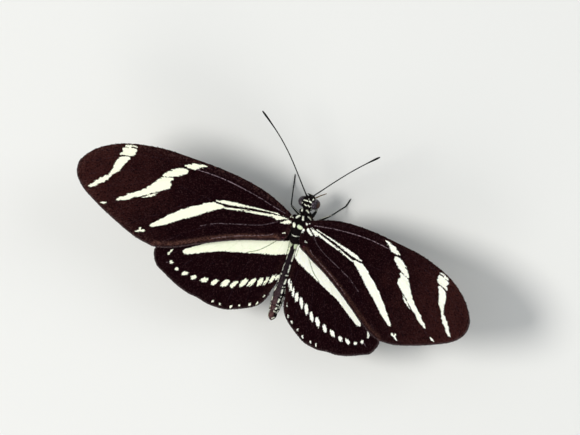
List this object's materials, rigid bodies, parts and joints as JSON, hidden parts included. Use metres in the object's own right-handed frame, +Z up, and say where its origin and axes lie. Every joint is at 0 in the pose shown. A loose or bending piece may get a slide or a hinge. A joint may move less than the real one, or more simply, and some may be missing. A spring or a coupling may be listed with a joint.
{
  "type": "zebra longwing butterfly",
  "caption": "Life-size black butterfly with long narrow wings banded in pale yellow, standing with its wings spread flat.",
  "frame": {"origin": "on the floor under the middle of the insect's bounding box", "axes": "+X to the insect's right, along the span of its wings, +Y forward, towards its head, +Z up"},
  "size_m": [0.09, 0.0416, 0.0186],
  "materials": {
    "wing_scales": "matte scales, black-brown with pale yellow bands",
    "body_scales": "scaly and hairy, black with pale dots",
    "head_scales": "scaly, black with pale dots",
    "eye_cornea": "glossy, finely faceted",
    "antenna_cuticle": "satin, ringed",
    "proboscis_skin": "satin, finely ringed",
    "leg_cuticle": "satin, with pale scales along the thigh"
  },
  "bodies": {
    "root": {"head": "head_scales", "eye_left": "eye_cornea", "eye_right": "eye_cornea", "antenna_left": "antenna_cuticle", "antenna_right": "antenna_cuticle", "palp_left": "head_scales", "palp_right": "head_scales", "proboscis": "proboscis_skin", "thorax": "body_scales", "abdomen": "body_scales", "foreleg_left": "leg_cuticle", "foreleg_right": "leg_cuticle", "midleg_left": "leg_cuticle", "midleg_right": "leg_cuticle", "hindleg_left": "leg_cuticle", "hindleg_right": "leg_cuticle", "forewing_left": "wing_scales", "forewing_right": "wing_scales", "hindwing_left": "wing_scales", "hindwing_right": "wing_scales"}
  },
  "joints": []
}
